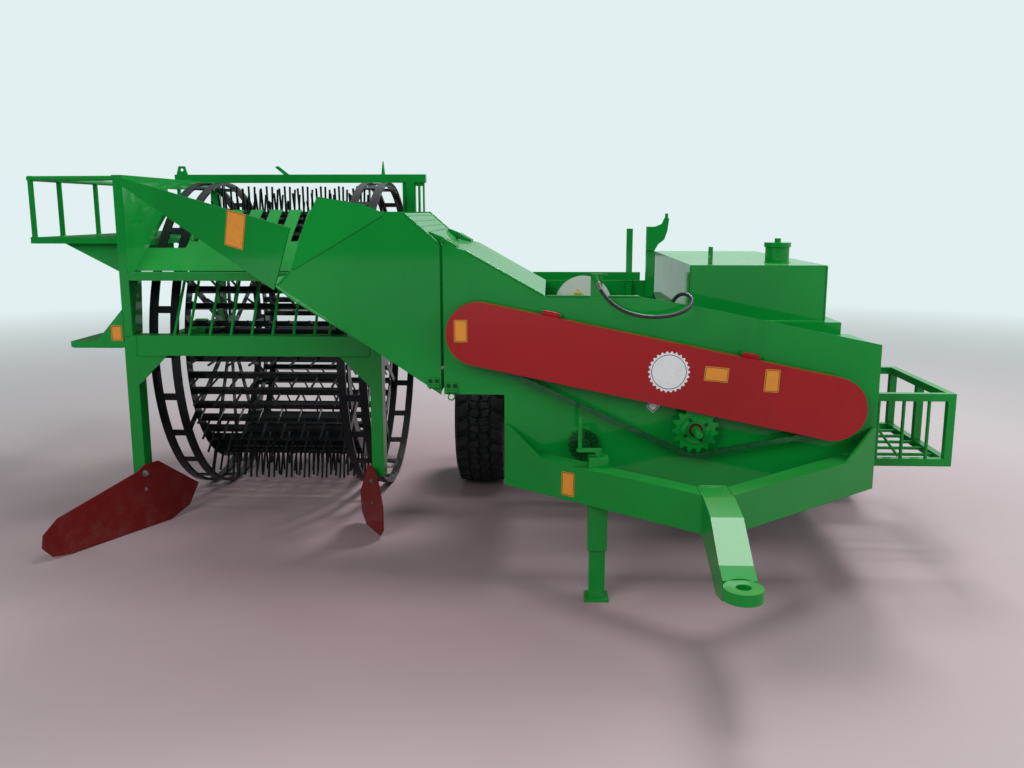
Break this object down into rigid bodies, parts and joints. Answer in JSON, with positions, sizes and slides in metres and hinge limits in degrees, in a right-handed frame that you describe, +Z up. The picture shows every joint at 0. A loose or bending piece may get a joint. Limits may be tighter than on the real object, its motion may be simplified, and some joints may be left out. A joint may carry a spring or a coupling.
{
  "type": "towed potato harvester",
  "caption": "One-row towed potato harvester: tined pickup drum on a folding side unit, chute, separating web, tank, bag platform and drawbar.",
  "frame": {"origin": "on the ground, in the middle of the machine's outline", "axes": "+X to the machine's left side, -Y forward to the tractor, +Z up"},
  "size_m": [4.42, 3.76, 1.9],
  "materials": {
    "green_paint": "satin green paint, dusty",
    "red_paint": "gloss red paint",
    "dark_red_paint": "dull dark red paint",
    "black_steel": "dark oiled steel",
    "tyre_rubber": "matt black rubber",
    "hose_rubber": "matt black rubber",
    "white_paint": "white paint",
    "bare_steel": "worn bare steel"
  },
  "bodies": {
    "chassis": {"side_rails": "green_paint", "cross_members": "green_paint", "drawbar_arms": "green_paint", "tongue": "green_paint", "hitch_eye": "green_paint", "jack_tube": "green_paint", "axle_beam": "green_paint", "body_front": "green_paint", "body_inner_wall": "green_paint", "body_rear_wall": "green_paint", "body_cover": "green_paint", "outlet_cover": "green_paint", "rear_deck": "green_paint", "separating_web": "black_steel", "web_rollers": "black_steel", "pto_shaft": "bare_steel", "drive_sprockets": "bare_steel", "drive_chain": "bare_steel", "guard_pins": "bare_steel", "tank": "green_paint", "tank_cap": "green_paint", "tank_shelf": "green_paint", "bag_platform": "green_paint", "bag_rail": "green_paint", "hose_uprights": "green_paint", "hydraulic_hose": "hose_rubber", "marker_disc": "white_paint", "fold_hinge": "green_paint"},
    "jack": {"jack_leg": "green_paint"},
    "wheel_right": {"tyre_right": "tyre_rubber", "rim_right": "green_paint"},
    "wheel_left": {"tyre_left": "tyre_rubber", "rim_left": "green_paint"},
    "guard": {"drive_guard": "red_paint"},
    "pickup": {"portal_legs": "green_paint", "portal_beam": "green_paint", "side_arms": "green_paint", "top_frame": "green_paint", "hopper_front": "green_paint", "hopper_end": "green_paint", "stripper_plate": "green_paint", "grate_rods": "green_paint", "chute_floor": "green_paint", "chute_front": "green_paint", "chute_hood": "green_paint", "chute_rear": "green_paint", "chute_cover": "green_paint", "walkway": "green_paint", "walkway_rail": "green_paint", "divider_outer": "dark_red_paint", "divider_inner": "dark_red_paint", "fold_knuckles": "green_paint"},
    "drum": {"drum_shaft": "black_steel", "cage_rims": "black_steel", "cage_spokes": "black_steel", "cage_plates": "black_steel", "rakes_even": "black_steel", "rakes_odd": "black_steel"}
  },
  "joints": [
    {"name": "wheel_right_turn", "type": "hinge", "parent": "chassis", "child": "wheel_right", "pos_m": [-0.03, 0.86, 0.4225], "axis": [1, 0, 0], "continuous": true},
    {"name": "wheel_left_turn", "type": "hinge", "parent": "chassis", "child": "wheel_left", "pos_m": [1.94, 0.86, 0.4225], "axis": [1, 0, 0], "continuous": true},
    {"name": "pickup_fold", "type": "hinge", "parent": "chassis", "child": "pickup", "pos_m": [-0.098, 0, 1.475], "axis": [0, 1, 0], "range_deg": [0, 90]},
    {"name": "drum_turn", "type": "hinge", "parent": "pickup", "child": "drum", "pos_m": [-1.1, 0.88, 0.88], "axis": [1, 0, 0], "continuous": true},
    {"name": "jack_slide", "type": "slide", "parent": "chassis", "child": "jack", "axis": [0, 0, 1], "range_m": [0, 0.2]},
    {"name": "guard_hinge", "type": "hinge", "parent": "chassis", "child": "guard", "pos_m": [0.0845, -0.704, 1.233], "axis": [-0.9793, 0, 0.2024], "range_deg": [0, 90]}
  ]
}
